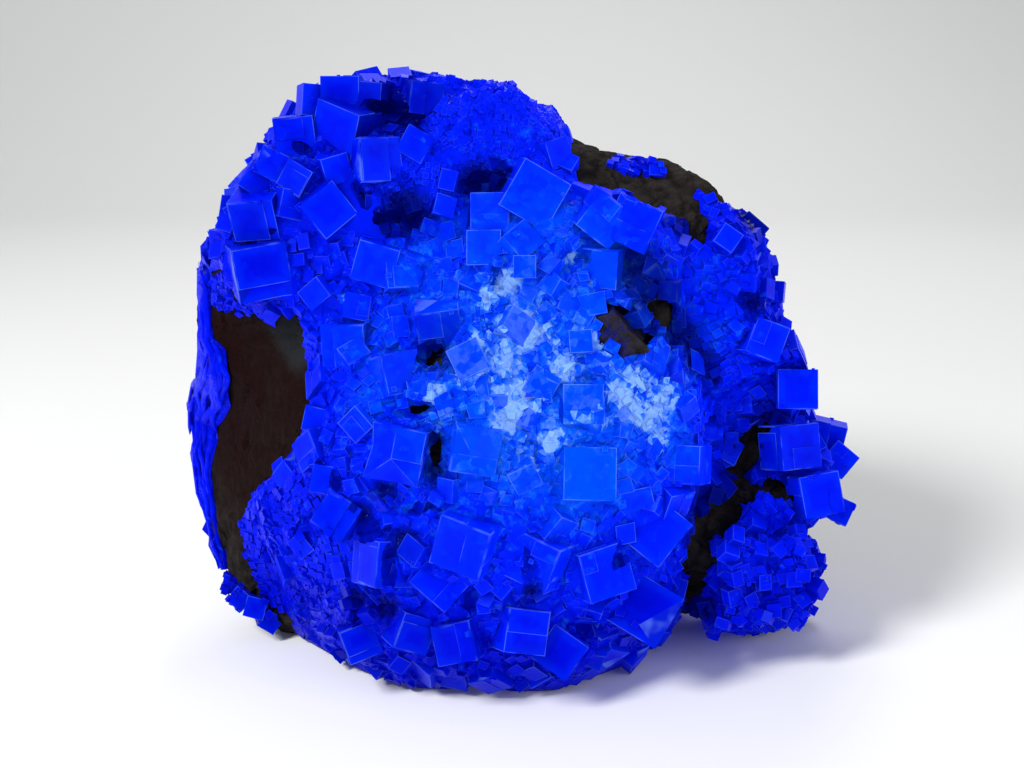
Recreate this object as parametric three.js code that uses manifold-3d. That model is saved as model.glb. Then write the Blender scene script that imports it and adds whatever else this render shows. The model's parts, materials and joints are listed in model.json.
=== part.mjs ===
// A hand specimen of cubic fluorite: blue crystals grown as a thick crust over the front of a lump
// of dark host rock. The rock is one solid. Each patch of crystals that touches no other patch is a
// solid of its own, seated on the rock.
//
// Lengths are in millimetres. +X runs across the front, +Y goes back and +Z is up. Shapes are worked
// out about the stone's middle, and the finished group is lifted so that it stands on Z = 0.
//
// Places on the front are given on an upright sheet through the stone's middle, as they line up for
// somebody who looks from the eye point: so many millimetres across and so many up.
import * as THREE from "three";
import { mergeVertices } from "three/addons/utils/BufferGeometryUtils.js";
import Module from "manifold-3d";

const wasm = await Module();
wasm.setup();

// ---------------------------------------------------------------- driving dimensions
const middleHeight = 107; // from the ground to the stone's middle
const middleAcross = -3.17; // the middle's place as seen from above, from the centre of its box
const middleDepth = 3.48;
const eyeDistance = 569;
const eyeElevation = 15; // degrees above the horizon
const seatGap = 0.35; // between a crust and the rock that it grew on
const patchGap = 0.5; // at least this much between one crust and the next
const crustThickness = 7;
const wrapDepth = 54; // the crust runs round the stone's edges as far back as this
const rockFacets = 7; // how finely the rock is faceted
const crustFacets = 7;
const smallCrustFacets = 10; // the crusts at the right are small, so they need a finer skin
const looseCrystals = 180; // places tried all round the stone for the crystals with no listed place
const crystalSink = 0.17; // of its edge, how far a crystal's middle lies under the crust's surface
const shoulderSink = 0.27;
const looseSink = 0.28;
const chipCount = 60; // small faces where flakes broke off the rock

// The rock is a blend of rounded bodies: where each is centred, its half lengths, and how square
// it is, from 2 for an ellipsoid upwards.
const rockBodies = [
  { at: [-2, 28, -2], half: [150, 56, 134], square: 3.2 }, // the slab at the back
  { at: [-8, -18, -34], half: [82, 58, 88], square: 2 }, // the swelling of the front
  { at: [18, -8, 26], half: [62, 44, 64], square: 2 }, // the ledge, upper middle
  { at: [-56, 16, 44], half: [66, 50, 66], square: 2 }, // the shoulder, upper left
  { at: [96, 12, -70], half: [42, 44, 42], square: 2 }, // the foot, lower right
];
const outlineBlend = 9; // how softly the rock rounds into its outline
const backTaper = 0.36; // how fast the outline draws in towards the back
const taperStart = 22;
const rockBlend = 14;

// Planes along which the rock broke: azimuth from the front towards +X, elevation, and distance
// from the middle.
const breakPlanes = [
  { azimuth: -59, elevation: 0, distance: 100 }, // the bare face on the left
  { azimuth: -130, elevation: 6, distance: 131 },
  { azimuth: 176, elevation: -3, distance: 80 },
  { azimuth: 138, elevation: 4, distance: 107 },
  { azimuth: -83, elevation: 36, distance: 124 },
  { azimuth: 90, elevation: 63, distance: 109 },
  { azimuth: 180, elevation: 44, distance: 104 },
  { azimuth: 160, elevation: -42, distance: 102 },
  { azimuth: -150, elevation: -38, distance: 108 },
];

// Hollows in the front, each along a line on the sheet: how far it spreads and how deep it is.
const hollows = [
  { line: [[73, 66], [77, 30], [83, 0], [85, -44], [78, -66], [72, -104]], spread: 11, depth: 15 },
  { line: [[36, 56], [50, 40], [68, 22], [84, 6]], spread: 10, depth: 9 },
  { line: [[20, 91], [36, 83], [50, 78], [68, 70]], spread: 8, depth: 9 },
  { line: [[-50, 67], [-36, 67]], spread: 10, depth: 8 },
  { line: [[-18, 84], [-5, 82]], spread: 9, depth: 7 },
  { line: [[-52, 106], [-34, 103]], spread: 8, depth: 5 },
  { line: [[-34, 12], [-30, 11]], spread: 12, depth: 9 },
  { line: [[96, -36], [112, -52]], spread: 9, depth: 8 },
  { line: [[8, -84], [24, -98]], spread: 12, depth: 6 },
  { line: [[-100, 24], [-104, -30]], spread: 22, depth: 3 },
];

// The rock's own outline on the sheet.
const rockOutline = [
  [-77, 114], [-41, 116.5], [-5, 115], [8, 110], [20, 103], [35, 100], [51, 95], [71, 87], [84, 75],
  [93, 58], [100, 40], [103, 22], [110, 3], [112, -14], [121, -24], [123, -46], [115, -64],
  [114, -80], [105, -90], [75, -96], [59, -103], [35, -112], [11, -121], [-25, -117], [-65, -112],
  [-85, -102], [-100, -94], [-113, -83], [-127, -59], [-137, -22], [-140, 10], [-138.5, 36],
  [-129, 53], [-109, 70], [-95, 88], [-88, 102],
];

// The outlines of the crusts on the sheet. They run past the stone's own outline where the crust
// goes on round the edge.
const frontCover = [
  [-91, 130], [-37, 133], [-5, 129], [19, 118], [26, 102], [14, 94], [22, 72], [28, 78], [39, 78],
  [58, 70], [69, 71], [71, 49], [70, 26], [78, 5], [80, -14], [78, -36], [74, -58], [70, -72],
  [71, -82], [64, -98], [51, -118], [11, -134], [-29, -131], [-73, -126], [-85, -99], [-100, -79],
  [-110, -64], [-108, -50], [-97, -38], [-88, -26], [-80, -10], [-80, -2], [-84, 14], [-82, 37],
  [-88, 29], [-96, 25], [-102, 33], [-109, 36], [-115, 30], [-120, 37], [-123, 49], [-133, 52],
  [-129, 68], [-109, 94], [-99, 110],
];
const rightCover = [
  [74, 58], [81, 62], [82, 70], [93, 74], [108, 62], [118, 38], [116, 20], [130, 10], [132, -6],
  [123, -12], [111, -16], [102, -11], [95, -22], [92, -42], [86, -43], [85, -34], [86, -14],
  [84, 5], [76, 24],
];
const knuckleCover = [
  [102, -31], [108, -20], [118, -20], [131, -12], [142, -22], [142, -59], [127, -62], [118, -53],
  [112, -44],
];
const footCover = [
  [78, -104], [77, -88], [82, -78], [84, -66], [90, -56], [97, -50], [110, -56], [118, -64],
  [130, -72], [132, -80], [116, -104], [97, -108],
];

// Where a lump of rock pokes out through the front crust.
const bareLump = [[31, 28], [35, 32], [45, 31], [54, 24], [57, 16], [50, 13], [41, 15], [34, 20]];

// A thin vein down the rock's left edge, which starts in the front crust: across, up and width.
const veinLine = [
  [-124, 54, 6], [-123, 44, 4.4], [-122.6, 31, 4], [-121.8, 20, 4.2], [-120.4, 13, 8.8],
  [-119.8, 4, 11.6], [-121.8, -5, 14], [-123.6, -13, 12.5], [-124, -24, 11], [-124.2, -34, 8.5],
  [-122, -48, 6], [-120.4, -54, 4.8], [-118, -64, 3.6], [-114.6, -74, 2.6],
];
const veinHeight = 3.2; // how far the vein's crest stands out of the rock
const veinEdge = 1.2;

// The field of tiny grains near the top, where no larger crystals grow.
const grainField = [
  [-46, 112], [-14, 124], [10, 120], [28, 104], [8, 94], [-12, 86], [-30, 78], [-50, 78], [-48, 98],
];

// Crystals with a place of their own: across, up, edge length, then degrees of roll (clockwise as
// seen), yaw (the left side comes into view) and pitch (the top comes into view).
const frontCrystals = [
  [-45, -28, 19.5, 11, -5, 0], [-46, 4, 14.5, -12, 25, 0], [-65, 16, 16.5, -3, -10, 10],
  [-43, 46, 18, -6, 18, -8], [-54, 50, 15, 18, 5, 20], [-28, 54, 12, 5, 0, 5],
  [-20, 68, 19, 1, 6, 8], [-6, 68, 15, 0, -20, 5], [-10, 54, 12.5, 0, -10, 0],
  [8, 76, 19, 30, 10, 5], [3, 56, 11, -40, 20, 0], [5, 47, 8, 0, 0, 5],
  [36, 67, 15, 38, 15, 10], [49, 65, 16.5, 24, -5, 15], [37, 47, 13.5, 3, -20, 15],
  [-63, 31, 9.5, 10, 20, 0],
  [-15, -25, 16, 11, 8, 12], [29, -8, 14, 0, -6, 0], [30, -36, 18.5, 1, 4, -4],
  [-17, -62, 19, 15, -15, 20], [-29, -77, 17, 42, 8, -8], [-51, -71, 16.5, 4, 38, 0],
  [-68, -52, 14, 32, -12, 5], [57, -58, 20, 38, -10, 0], [53, -90, 21, 31, -8, -5],
  [70, -32, 14, 2, -25, 0], [-74, -38, 10, 8, 0, 0],
  [-77, -14, 9, 12, -15, 5], [-29, 24, 15.5, -8, 0, 25],
  [11, -70, 17, 20, -20, 10], [35, -74, 18, -15, 15, 5], [3, -98, 16, 8, 20, -5],
  [-21, -102, 15, -12, -15, 0], [-41, -98, 13.5, 20, 25, 0], [-61, -102, 13, -20, 10, 5],
  [19, -106, 15, 35, 0, 0], 
];
const shoulderCrystals = [
  [-79, 113, 11.5, 4, 20, 5], [-68, 115.5, 14, 0, 0, 12], [-56, 114.5, 11, 5, -15, 10],
  [-36, 114, 12.5, 8, 20, 10], [-87, 99, 14.5, -6, 8, 14],
  [-95, 88, 10.5, 25, 0, 10], [-102, 81, 10, 35, 10, 0], [-65, 102, 19, 15, -25, 25],
  [-38, 96, 10.5, 30, 0, 10], [-75, 70, 15, -38, 10, 20], [-56, 89, 16, -4, 30, 5],
  [-101, 68, 17, -8, -10, 30], [-101, 46, 20, -8, 15, 15],
  [-85, 82, 10.5, 30, -10, 10], 
  [-71, 86, 10, -15, 15, 15], [-89, 72, 10.5, 12, 30, 5],
];
const rightCrystals = [
  [114, -2, 15, 0, -8, 0], [100, 18, 13.5, 20, 10, 0], 
  [105, 37, 8, 5, -15, 0], 
  [86, 58, 8, 35, 0, 0], [91, -4, 13, 15, -20, 5],
  [77, 44, 8, -12, 10, 0], [84, -22, 9, 5, 20, 0],
];
const knuckleCrystals = [
  [111, -25, 17, -5, 20, 0], [125, -22, 15.5, 12, -10, 10], [130, -30, 11.5, 40, 0, 0],
  [121, -44, 16, -10, 10, 0], [130, -50, 10.5, 25, 0, 0],
];
const footCrystals = [
  [93, -70, 17, 8, 15, 0], [101, -54, 14, 40, -10, 0], [109, -70, 16, -20, -20, 10],
  [93, -88, 16, 15, 10, -5], [111, -86, 15, 30, 0, 0], [122, -72, 7.5, 10, 0, 0],
  [83, -94, 10, -20, 0, 0],
];

const topPatchCrystals = [
  [43, 88, 7, 10, 20, 0], [48, 88, 6.5, 40, 0, 0], [53, 88, 7, 20, -10, 0],
  [57, 86, 5.5, 0, 10, 0], [51, 91, 5, 30, 10, 10],
];
const lowPatchCrystals = [
  [-112, -80, 7, 10, 10, 0], [-108, -85, 8, 40, 0, 10], [-102, -89, 8.5, 15, 0, 0],
  [-97, -94, 8, 35, 20, 0], [-92, -100, 7, 5, 0, 0],
];

// ---------------------------------------------------------------- small maths
const radians = THREE.MathUtils.degToRad;
const vector = (x, y, z) => new THREE.Vector3(x, y, z);
const goldenAngle = Math.PI * (3 - Math.sqrt(5));

// A number from 0 to 1 that looks random and is the same on every run.
function chance(index, kind) {
  const s = Math.sin(index * 12.9898 + kind * 78.233) * 43758.5453;
  return s - Math.floor(s);
}

function blendedMin(a, b, width) {
  const near = Math.max(width - Math.abs(a - b), 0) / width;
  return Math.min(a, b) - near * near * width * 0.25;
}

const blendedMax = (a, b, width) => -blendedMin(-a, -b, width);

// Distance on the sheet from a place to the line between two others.
function toSegment([x1, y1], [x2, y2], across, up) {
  const ex = x2 - x1;
  const ey = y2 - y1;
  const along = ((across - x1) * ex + (up - y1) * ey) / (ex * ex + ey * ey);
  const t = THREE.MathUtils.clamp(along, 0, 1);
  return Math.hypot(across - x1 - t * ex, up - y1 - t * ey);
}

// Distance on the sheet from a place to an outline, positive inside it.
function insideOutline(outline, across, up) {
  let nearest = Infinity;
  let inside = false;
  outline.forEach((end, i) => {
    const start = outline.at(i - 1);
    nearest = Math.min(nearest, toSegment(start, end, across, up));
    const [x1, y1] = start;
    const [x2, y2] = end;
    const crosses = y1 > up !== y2 > up && across < x1 + ((x2 - x1) * (up - y1)) / (y2 - y1);
    if (crosses) inside = !inside;
  });
  return inside ? nearest : -nearest;
}

// ---------------------------------------------------------------- the eye and its sheet
const eyeTilt = radians(eyeElevation);
const sheetAcross = vector(1, 0, 0);
const sheetUp = vector(0, Math.sin(eyeTilt), Math.cos(eyeTilt));
const lookAhead = vector(0, Math.cos(eyeTilt), -Math.sin(eyeTilt));
const eye = lookAhead.clone().multiplyScalar(-eyeDistance);

// Where a point lines up on the sheet.
function onSheet(point) {
  const fromEye = point.clone().sub(eye);
  const scale = eyeDistance / fromEye.dot(lookAhead);
  return [fromEye.dot(sheetAcross) * scale, fromEye.dot(sheetUp) * scale];
}

// ---------------------------------------------------------------- the rock's form
const breaks = breakPlanes.map(({ azimuth, elevation, distance }) => {
  const a = radians(azimuth);
  const e = radians(elevation);
  const normal = vector(Math.sin(a) * Math.cos(e), -Math.cos(a) * Math.cos(e), Math.sin(e));
  return { normal, distance };
});

// Gentle swells, so that no face of the rock is quite flat.
function swell({ x, y, z }) {
  return 1.8 * Math.sin(x / 17 + 1.3) * Math.sin(y / 19 + 0.7) * Math.sin(z / 15 + 2.1)
    + 0.9 * Math.sin(x / 8 - z / 11) * Math.sin(z / 7 + y / 9);
}

// How deep the hollows are at a point of the front. They fade out towards the back.
function hollowAt(point) {
  const front = THREE.MathUtils.clamp((60 - point.y) / 30, 0, 1);
  if (front === 0) return 0;
  const [across, up] = onSheet(point);
  let deepest = 0;
  for (const { line, spread, depth } of hollows) {
    for (let i = 1; i < line.length; i++) {
      const off = toSegment(line[i - 1], line[i], across, up) / spread;
      if (off < 1) deepest = Math.max(deepest, depth * (1 - off * off) ** 2);
    }
  }
  return deepest * front;
}

function toBody(point, { at, half, square }) {
  const part = [point.x, point.y, point.z].map((v, i) => Math.abs(v - at[i]) / half[i]);
  const reach = part.reduce((sum, v) => sum + v ** square, 0) ** (1 / square);
  const steep = Math.hypot(...part.map((v, i) => (v / reach) ** (square - 1) / half[i]));
  return (reach - 1) / steep;
}

// Roughly the distance from a point to the surface of the rock before flakes broke off it.
function toWholeRock(point) {
  let distance = toBody(point, rockBodies[0]);
  for (const body of rockBodies.slice(1)) {
    distance = blendedMin(distance, toBody(point, body), rockBlend);
  }
  const drawnIn = backTaper * Math.max(point.y - taperStart, 0);
  const outside = drawnIn - insideOutline(rockOutline, ...onSheet(point));
  distance = blendedMax(distance, outside, outlineBlend);
  for (const { normal, distance: reach } of breaks) {
    distance = blendedMax(distance, point.dot(normal) - reach, 3);
  }
  return distance + hollowAt(point) - swell(point);
}

const hub = vector(0, 5, -10); // every part of the rock's surface can be seen from here
const farOut = 200;
const stride = 4;

// How far out from the hub a surface lies along a direction.
function reachOf(direction, toSurface) {
  const at = (r) => toSurface(hub.clone().addScaledVector(direction, r));
  let outer = farOut;
  while (outer > stride && at(outer - stride) > 0) outer -= stride;
  let inner = outer - stride;
  for (let i = 0; i < 24; i++) {
    const half = (inner + outer) / 2;
    if (at(half) > 0) outer = half;
    else inner = half;
  }
  return inner;
}

function outwardAt(point, toSurface) {
  const step = 1.5;
  const slope = (x, y, z) => toSurface(point.clone().add(vector(x, y, z)))
    - toSurface(point.clone().sub(vector(x, y, z)));
  return vector(slope(step, 0, 0), slope(0, step, 0), slope(0, 0, step)).normalize();
}

// Directions spread evenly all round.
function spreadDirection(index, count) {
  const height = 1 - (2 * index + 1) / count;
  const flat = Math.sqrt(1 - height * height);
  const around = index * goldenAngle;
  return vector(flat * Math.cos(around), flat * Math.sin(around), height);
}

function surfacePoint(direction, toSurface) {
  return direction.clone().multiplyScalar(reachOf(direction, toSurface)).add(hub);
}

// Where the flakes broke off: a slanting flat face that cuts a little way in and ends in a step.
const chips = [];
for (let index = 0; index < chipCount; index++) {
  const centre = surfacePoint(spreadDirection(index, chipCount), toWholeRock);
  const tilt = vector(chance(index, 6) - 0.5, chance(index, 7) - 0.5, chance(index, 8) - 0.5);
  const normal = outwardAt(centre, toWholeRock).addScaledVector(tilt, 0.55).normalize();
  const fresh = centre.y > 20 ? 6.5 : 2.5;
  const depth = fresh * (0.3 + 0.7 * chance(index, 9));
  chips.push({ centre, normal, floor: centre.dot(normal) - depth, size: 20 + 22 * chance(index, 10) });
}

// Roughly the distance from a point to the rock's surface, negative inside the rock.
function toRock(point) {
  let distance = toWholeRock(point);
  for (const { centre, normal, floor, size } of chips) {
    const away = point.distanceTo(centre);
    if (away < size) distance = Math.max(distance, Math.min(point.dot(normal) - floor, size - away));
  }
  return distance;
}

// ---------------------------------------------------------------- solids
function bare(geometry) {
  const plain = geometry.clone();
  plain.deleteAttribute("normal");
  plain.deleteAttribute("uv");
  return mergeVertices(plain, 1e-4);
}

function solidFrom(geometry) {
  const merged = bare(geometry);
  return new wasm.Manifold(new wasm.Mesh({
    numProp: 3,
    vertProperties: merged.attributes.position.array,
    triVerts: new Uint32Array(merged.index.array),
  }));
}

// A closed skin round the hub, whose surface is where toSurface is 0.
function skin(facets, toSurface) {
  const ball = bare(new THREE.IcosahedronGeometry(1, facets));
  const place = ball.attributes.position;
  const direction = vector(0, 0, 0);
  for (let i = 0; i < place.count; i++) {
    direction.fromBufferAttribute(place, i).normalize();
    const corner = surfacePoint(direction, toSurface);
    place.setXYZ(i, corner.x, corner.y, corner.z);
  }
  return solidFrom(ball);
}

const groundDepth = 60;
const ground = solidFrom(
  new THREE.BoxGeometry(600, 600, groundDepth).translate(0, 0, -middleHeight - groundDepth / 2));

function largestOf(solid) {
  return solid.decompose().reduce((a, b) => (a.volume() > b.volume() ? a : b));
}

// ---------------------------------------------------------------- crystals
function cube({ centre, turn, edge }, grow = 0) {
  const side = edge + grow;
  return solidFrom(new THREE.BoxGeometry(side, side, side)
    .applyMatrix4(new THREE.Matrix4().compose(centre, turn, vector(1, 1, 1))));
}

// A listed crystal: it sits where the line from the eye meets the crust, half of it standing out.
// Where the line only skims past the stone, it sits on the crust beside the line.
function listedCrystal([across, up, edge, roll, yaw, pitch], toSurface, sink = crystalSink) {
  const aim = sheetAcross.clone().multiplyScalar(across).addScaledVector(sheetUp, up);
  const ray = aim.sub(eye).normalize();
  const at = (r) => toSurface(eye.clone().addScaledVector(ray, r));
  let closest = eyeDistance - farOut;
  for (let r = closest; r < eyeDistance + wrapDepth && at(closest) > 0; r += 1) {
    if (at(r) < at(closest)) closest = r;
  }
  const centre = eye.clone().addScaledVector(ray, closest + edge * sink);
  const beside = Math.max(at(closest) - 0.1 * edge, 0);
  centre.addScaledVector(outwardAt(centre, toSurface), -beside);
  const facing = new THREE.Matrix4().makeBasis(
    sheetAcross, sheetUp, lookAhead.clone().negate());
  const turn = new THREE.Quaternion().setFromRotationMatrix(facing);
  turn.multiply(new THREE.Quaternion().setFromEuler(
    new THREE.Euler(0, 0, radians(-roll))));
  turn.multiply(new THREE.Quaternion().setFromEuler(new THREE.Euler(radians(pitch), 0, 0)));
  turn.multiply(new THREE.Quaternion().setFromEuler(new THREE.Euler(0, radians(yaw), 0)));
  return { centre, turn, edge };
}

// The crystals with no listed place: spread all round, thinly at the back and below, each on its
// own slant.
function looseCrystal(index, toSurface, cover) {
  const centre = surfacePoint(spreadDirection(index, looseCrystals), toSurface);
  const sparse = centre.y > 5 || centre.z < -85;
  if (cover(centre) < 2 || (sparse && index % 3)) return null;
  if (insideOutline(grainField, ...onSheet(centre)) > -2) return null;
  const outward = outwardAt(centre, toSurface);
  const turn = new THREE.Quaternion().setFromUnitVectors(vector(0, 0, 1), outward);
  turn.multiply(new THREE.Quaternion().setFromEuler(new THREE.Euler(
    (chance(index, 2) - 0.5) * 0.9, (chance(index, 3) - 0.5) * 0.9, chance(index, 4) * 1.57)));
  const edge = 7 + 5.5 * chance(index, 5);
  centre.addScaledVector(outward, -edge * looseSink);
  return { centre, turn, edge };
}

function crowded(crystal, others) {
  return others.some((other) =>
    crystal.centre.distanceTo(other.centre) < 0.42 * crystal.edge + 0.55 * other.edge);
}

// ---------------------------------------------------------------- a crust
// Above 0 where a crust covers the rock, in millimetres from its ragged edge.
function coverOf(outline) {
  return (point) => {
    const ragged = 9 * Math.sin(point.x / 19 + 1) * Math.sin(point.z / 14) + 4 * Math.sin(point.z / 6);
    return Math.min(insideOutline(outline, ...onSheet(point)), wrapDepth + ragged - point.y);
  };
}

function crystalsOn(outline, facets, listed, sunkListed = []) {
  const cover = coverOf(outline);
  const toCrust = (point) => toRock(point)
    - THREE.MathUtils.clamp(cover(point) * 0.9, -3, crustThickness);
  const crystals = [
    ...listed.map((row) => listedCrystal(row, toCrust)),
    ...sunkListed.map((row) => listedCrystal(row, toCrust, shoulderSink)),
  ];
  for (let index = 0; index < looseCrystals; index++) {
    const found = looseCrystal(index, toCrust, cover);
    if (found && !crowded(found, crystals)) crystals.push(found);
  }
  return { crystals, toCrust, facets };
}

// Where the line of sight through a place on the sheet comes nearest to the rock, on its surface,
// moved outwards by a height.
function onRock(across, up, height) {
  const aim = sheetAcross.clone().multiplyScalar(across).addScaledVector(sheetUp, up);
  const ray = aim.sub(eye).normalize();
  const at = (r) => toRock(eye.clone().addScaledVector(ray, r));
  let closest = eyeDistance - farOut;
  for (let r = closest; r < eyeDistance + wrapDepth && at(closest) > 0; r += 1) {
    if (at(r) < at(closest)) closest = r;
  }
  const place = eye.clone().addScaledVector(ray, closest);
  return place.addScaledVector(outwardAt(place, toRock), height - toRock(place));
}

// The vein: one length after another, each between two of its cross sections.
function vein() {
  const sections = veinLine.map(([across, up, width]) => [
    onRock(across - width / 2, up, veinEdge), onRock(across - width / 2, up, -2),
    onRock(across - width / 5, up, veinHeight), onRock(across + width / 4, up, veinHeight * 0.8),
    onRock(across + width / 2, up, veinEdge), onRock(across + width / 2, up, -2),
  ]);
  return sections.slice(1).map((section, i) =>
    wasm.Manifold.hull([...sections[i], ...section].map(({ x, y, z }) => [x, y, z])))
    .reduce((a, b) => a.add(b));
}

const rock = skin(rockFacets, toRock).subtract(ground);
const seat = skin(rockFacets, (point) => toRock(point) - seatGap);

// A straight-sided cutter along the line of sight, for the bare lump.
function lumpCutter() {
  const outline = new THREE.Shape(bareLump.map(([across, up]) => new THREE.Vector2(across, up)));
  const block = new THREE.ExtrudeGeometry(outline, { depth: 70, bevelEnabled: false });
  const facing = new THREE.Matrix4().makeBasis(sheetAcross, sheetUp, lookAhead.clone().negate());
  const nearer = new THREE.Matrix4().makeScale(0.93, 0.93, 1);
  return solidFrom(block.applyMatrix4(nearer).applyMatrix4(facing));
}

function crust({ crystals, toCrust, facets, more = [] }, neighbours = [], clearance = 0) {
  let solid = skin(facets, (point) => toCrust(point) - clearance);
  for (const crystal of crystals) solid = solid.add(cube(crystal, 2 * clearance));
  if (clearance > 0) return solid;
  for (const other of more) solid = solid.add(other);
  solid = solid.subtract(seat).subtract(ground);
  for (const other of neighbours) solid = solid.subtract(crust(other, [], patchGap));
  return largestOf(solid);
}

// A few crystals that touch nothing but one another and the rock.
function patch(listed) {
  const crystals = listed.map((row) => cube(listedCrystal(row, toRock)));
  return largestOf(crystals.reduce((a, b) => a.add(b)).subtract(seat).subtract(ground));
}

const front = crystalsOn(frontCover, crustFacets, frontCrystals, shoulderCrystals);
front.more = [vein()];
const right = crystalsOn(rightCover, smallCrustFacets, rightCrystals);
const knuckle = crystalsOn(knuckleCover, smallCrustFacets, knuckleCrystals);
const foot = crystalsOn(footCover, smallCrustFacets, footCrystals);

// ---------------------------------------------------------------- the specimen
function finish(solid, name, material) {
  const { vertProperties, triVerts, numProp } = solid.getMesh();
  const geometry = new THREE.BufferGeometry();
  const place = new THREE.InterleavedBuffer(vertProperties, numProp);
  geometry.setAttribute("position", new THREE.InterleavedBufferAttribute(place, 3, 0));
  geometry.setIndex(new THREE.BufferAttribute(triVerts, 1));
  geometry.computeVertexNormals();
  const mesh = new THREE.Mesh(geometry, material);
  mesh.name = name;
  return mesh;
}

const rockMaterial = new THREE.MeshStandardMaterial({ color: 0x2e2320, roughness: 0.9 });
const fluorite = new THREE.MeshStandardMaterial({
  color: 0x0a2cf5, roughness: 0.3, emissive: 0x0018c0 });

const specimen = new THREE.Group();
specimen.name = "fluorite_specimen";
specimen.add(finish(rock, "host_rock", rockMaterial));
specimen.add(finish(largestOf(crust(front).subtract(lumpCutter())), "front_crystals", fluorite));
specimen.add(finish(crust(right, [front]), "right_crystals", fluorite));
specimen.add(finish(crust(knuckle, [front, right]), "knuckle_crystals", fluorite));
specimen.add(finish(crust(foot, [front, knuckle]), "foot_crystals", fluorite));
specimen.add(finish(patch(topPatchCrystals), "top_patch_crystals", fluorite));
specimen.add(finish(patch(lowPatchCrystals), "low_patch_crystals", fluorite));
specimen.position.set(middleAcross, middleDepth, middleHeight);

export default specimen;
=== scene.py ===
# %% [markdown]
# # A specimen of cubic fluorite
#
# This lesson dresses a lump of dark rock that carries a thick crust of blue fluorite cubes. The
# plain solids already stand in the right place: they give the rock's big breaks and the large
# crystals. What is missing is everything small: the thousands of little cubes between the large
# ones, the sugary grains at the top, the broken grain of the rock, and the finishes.
#
# The first step loads the solids.

import json
import math

import bmesh
import bpy
import numpy as np
from mathutils import Euler, Matrix, Vector, noise
from mathutils.bvhtree import BVHTree

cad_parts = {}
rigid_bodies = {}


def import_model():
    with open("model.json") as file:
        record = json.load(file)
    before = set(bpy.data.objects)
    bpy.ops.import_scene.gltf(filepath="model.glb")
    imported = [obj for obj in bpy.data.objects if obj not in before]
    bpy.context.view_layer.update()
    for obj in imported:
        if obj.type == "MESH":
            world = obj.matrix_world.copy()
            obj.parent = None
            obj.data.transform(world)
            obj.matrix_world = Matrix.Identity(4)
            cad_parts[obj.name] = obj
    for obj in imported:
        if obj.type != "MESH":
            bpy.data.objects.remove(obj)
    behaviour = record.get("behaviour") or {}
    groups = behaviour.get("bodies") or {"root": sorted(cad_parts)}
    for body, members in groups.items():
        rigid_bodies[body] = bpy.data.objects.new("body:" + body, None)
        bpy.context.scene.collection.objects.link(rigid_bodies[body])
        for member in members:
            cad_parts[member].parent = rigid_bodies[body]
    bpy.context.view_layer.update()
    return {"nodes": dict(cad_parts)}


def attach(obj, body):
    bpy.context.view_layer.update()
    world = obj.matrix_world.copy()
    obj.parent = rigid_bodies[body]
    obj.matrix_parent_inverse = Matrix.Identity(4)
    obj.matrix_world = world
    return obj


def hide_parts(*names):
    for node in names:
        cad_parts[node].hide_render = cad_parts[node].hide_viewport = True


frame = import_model()
nodes = frame["nodes"]
MM = 0.001
print("solids:", sorted(nodes))

# %% [markdown]
# ## An eye and a sheet
#
# The front of a crystal specimen is easiest to describe as somebody sees it. Imagine an upright
# sheet of paper through the middle of the stone and an eye a good half metre in front of it, a
# little above. A place on the front is then two numbers, so many millimetres across the sheet and
# so many up. `on_sheet` finds those numbers for points of the stone, and `meet` goes the other way:
# it follows the line of sight until it meets a surface.

# %% The eye and the sheet
MIDDLE = Vector((-3.17, 3.48, 107)) * MM
EYE_DISTANCE = 569 * MM
EYE_TILT = math.radians(15)
ACROSS = Vector((1, 0, 0))
UP = Vector((0, math.sin(EYE_TILT), math.cos(EYE_TILT)))
AHEAD = Vector((0, math.cos(EYE_TILT), -math.sin(EYE_TILT)))
EYE = MIDDLE - AHEAD * EYE_DISTANCE


def on_sheet(points):
    """Where points line up on the sheet, in millimetres across and up."""
    from_eye = np.atleast_2d(points) - np.array(EYE)
    scale = EYE_DISTANCE / MM / (from_eye @ np.array(AHEAD))
    return np.stack([from_eye @ np.array(ACROSS) * scale, from_eye @ np.array(UP) * scale], 1)


def meet(across, up, surface):
    """The point where the line of sight through a place on the sheet meets a surface."""
    aim = MIDDLE + (ACROSS * across + UP * up) * MM
    place, normal, _, _ = surface.ray_cast(EYE, (aim - EYE).normalized())
    return place, normal


def first_met(across, up, surfaces):
    """The same for several surfaces: the meeting that is nearest to the eye, or None."""
    hits = [meet(across, up, surface) for surface in surfaces]
    hits = [hit for hit in hits if hit[0] is not None]
    return min(hits, key=lambda hit: (hit[0] - EYE).length) if hits else None


def inside(outline, places):
    """Which places on the sheet lie inside an outline."""
    x, y = places[:, 0], places[:, 1]
    result = np.zeros(len(places), bool)
    for (x1, y1), (x2, y2) in zip(outline, outline[1:] + outline[:1]):
        if y1 != y2:
            result ^= ((y1 > y) != (y2 > y)) & (x < x1 + (x2 - x1) * (y - y1) / (y2 - y1))
    return result


def upright(normal):
    """The turn that stands a thing up on a surface."""
    return Vector((0, 0, 1)).rotation_difference(Vector(normal))


print("the eye is at", tuple(round(c, 3) for c in EYE))

# %% [markdown]
# ## Welded copies of the solids
#
# A solid that comes in from a file has its corners doubled along every crease. Joining more
# crystals to it needs one closed skin, so each solid is copied and its doubled corners are welded.
# A tree of its triangles then answers questions such as "how far is this point from the rock".
#
# The small helpers here are used all through the lesson: one adds an object to the scene, others
# make a mesh from a working copy, from modifiers or from lists, one makes a ball to be shaped, and
# the last two read or store many numbers of a mesh at once.

# %% Welded copies


def add_object(name, data):
    made = bpy.data.objects.new(name, data)
    bpy.context.scene.collection.objects.link(made)
    return made


def mesh_from(solid, name):
    mesh = bpy.data.meshes.new(name)
    solid.to_mesh(mesh)
    return mesh


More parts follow.
